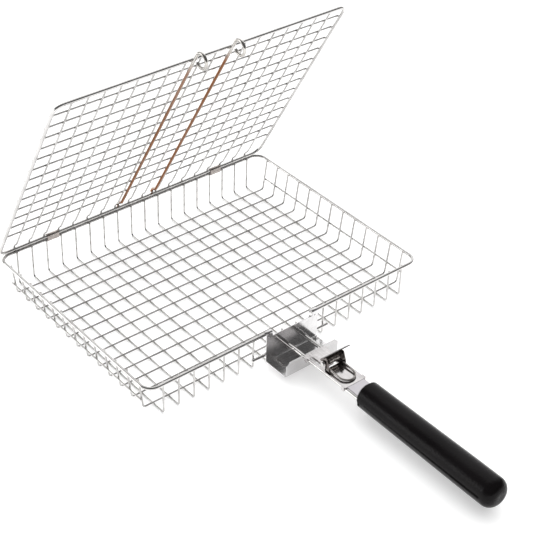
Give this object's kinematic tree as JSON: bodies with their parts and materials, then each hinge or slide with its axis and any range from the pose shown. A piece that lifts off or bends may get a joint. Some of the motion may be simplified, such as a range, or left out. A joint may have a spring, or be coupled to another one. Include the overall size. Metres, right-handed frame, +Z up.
{
  "type": "grill basket",
  "caption": "Shallow rectangular wire grill basket with a hinged wire lid, a sheet-metal bracket and a long pull-out handle with a sprung latch.",
  "frame": {"origin": "on the surface the basket stands on, under the middle of the basket", "axes": "+Z up; -Y from the basket to the handle; +Y towards the lid's hinge; X along the basket's long side"},
  "size_m": [0.3232, 0.5112, 0.2713],
  "materials": {
    "frame_wire": "polished stainless wire",
    "mesh_wire": "polished stainless wire",
    "sheet": "bright rolled sheet",
    "hardware": "plain steel",
    "grip": "semi-gloss moulded black"
  },
  "bodies": {
    "basket": {"rim_wire": "frame_wire", "cross_wires": "mesh_wire", "length_wires": "mesh_wire", "stiffener_left": "mesh_wire", "stiffener_right": "mesh_wire", "bracket_support_wire": "frame_wire", "handle_bracket": "sheet", "hinge_clip_left": "sheet", "hinge_clip_right": "sheet"},
    "lid": {"lid_frame": "frame_wire", "lid_cross_wires": "mesh_wire", "lid_length_wires": "mesh_wire", "lock_rod_left": "frame_wire", "lock_rod_right": "frame_wire"},
    "handle": {"handle_rod_left": "frame_wire", "handle_rod_right": "frame_wire", "latch_strap": "sheet", "grip_tang": "sheet", "latch_pin": "frame_wire", "latch_spring": "hardware", "grip_upper_shell": "grip", "grip_lower_shell": "grip", "grip_screws": "hardware"},
    "latch": {"latch_lever": "sheet"},
    "ring": {"pull_ring": "frame_wire"}
  },
  "joints": [
    {"name": "lid_hinge", "type": "hinge", "parent": "basket", "child": "lid", "pos_m": [0, 0.122, 0.0395], "axis": [-1, 0, 0], "range_deg": [-61, 52]},
    {"name": "handle_slide", "type": "slide", "parent": "basket", "child": "handle", "axis": [0, -1, 0], "range_m": [0, 0.05]},
    {"name": "latch_lever_hinge", "type": "hinge", "parent": "handle", "child": "latch", "pos_m": [0, -0.18, 0.0304], "axis": [-1, 0, 0], "range_deg": [0, 10], "stiffness_Nm_per_rad": 0.2, "springref_deg": -17.19},
    {"name": "pull_ring_swing", "type": "hinge", "parent": "latch", "child": "ring", "pos_m": [0, -0.1844, 0.02632], "axis": [-1, 0, 0], "range_deg": [0, 90]}
  ]
}
